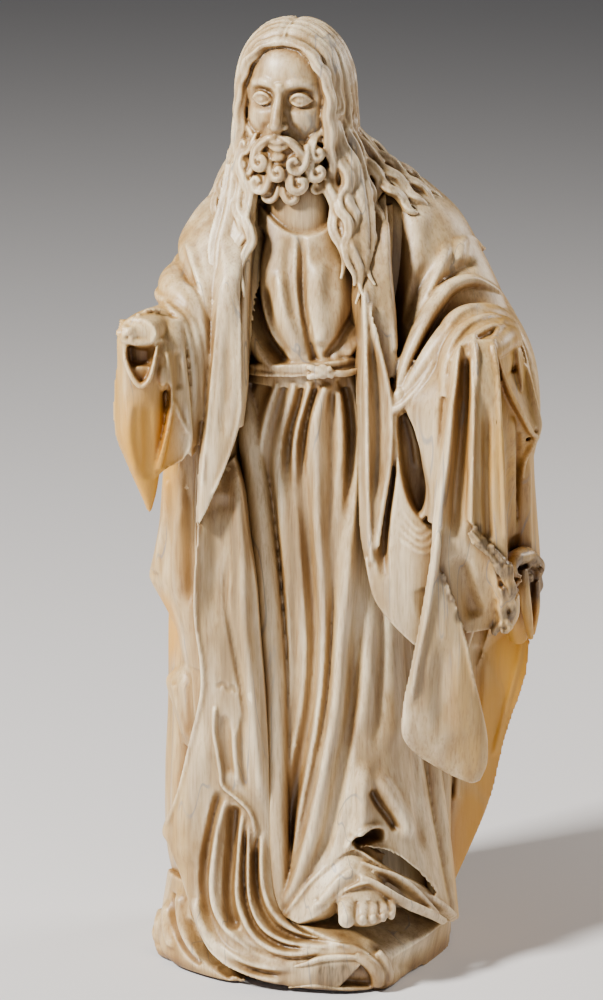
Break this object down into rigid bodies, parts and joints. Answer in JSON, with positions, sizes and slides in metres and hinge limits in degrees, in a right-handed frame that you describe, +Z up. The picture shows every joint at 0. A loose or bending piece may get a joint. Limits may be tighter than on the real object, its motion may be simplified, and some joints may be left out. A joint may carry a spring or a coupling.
{
  "type": "standing robed figure",
  "caption": "Standing bearded figure in a belted gown and wide mantle, carved from one piece of ivory on a low base, with both hands broken off.",
  "frame": {"origin": "in the flat underside of the base, below the middle of the figure", "axes": "+Z up along the figure, -Y the way the figure faces, +X towards the figure's left hand"},
  "size_m": [0.1356, 0.1022, 0.3],
  "materials": {
    "ivory": "aged ivory, smooth and semi-matt, cream on the ridges, honey-coloured where thin, brown in the hollows"
  },
  "bodies": {
    "root": {"ivory_figure": "ivory"}
  },
  "joints": []
}
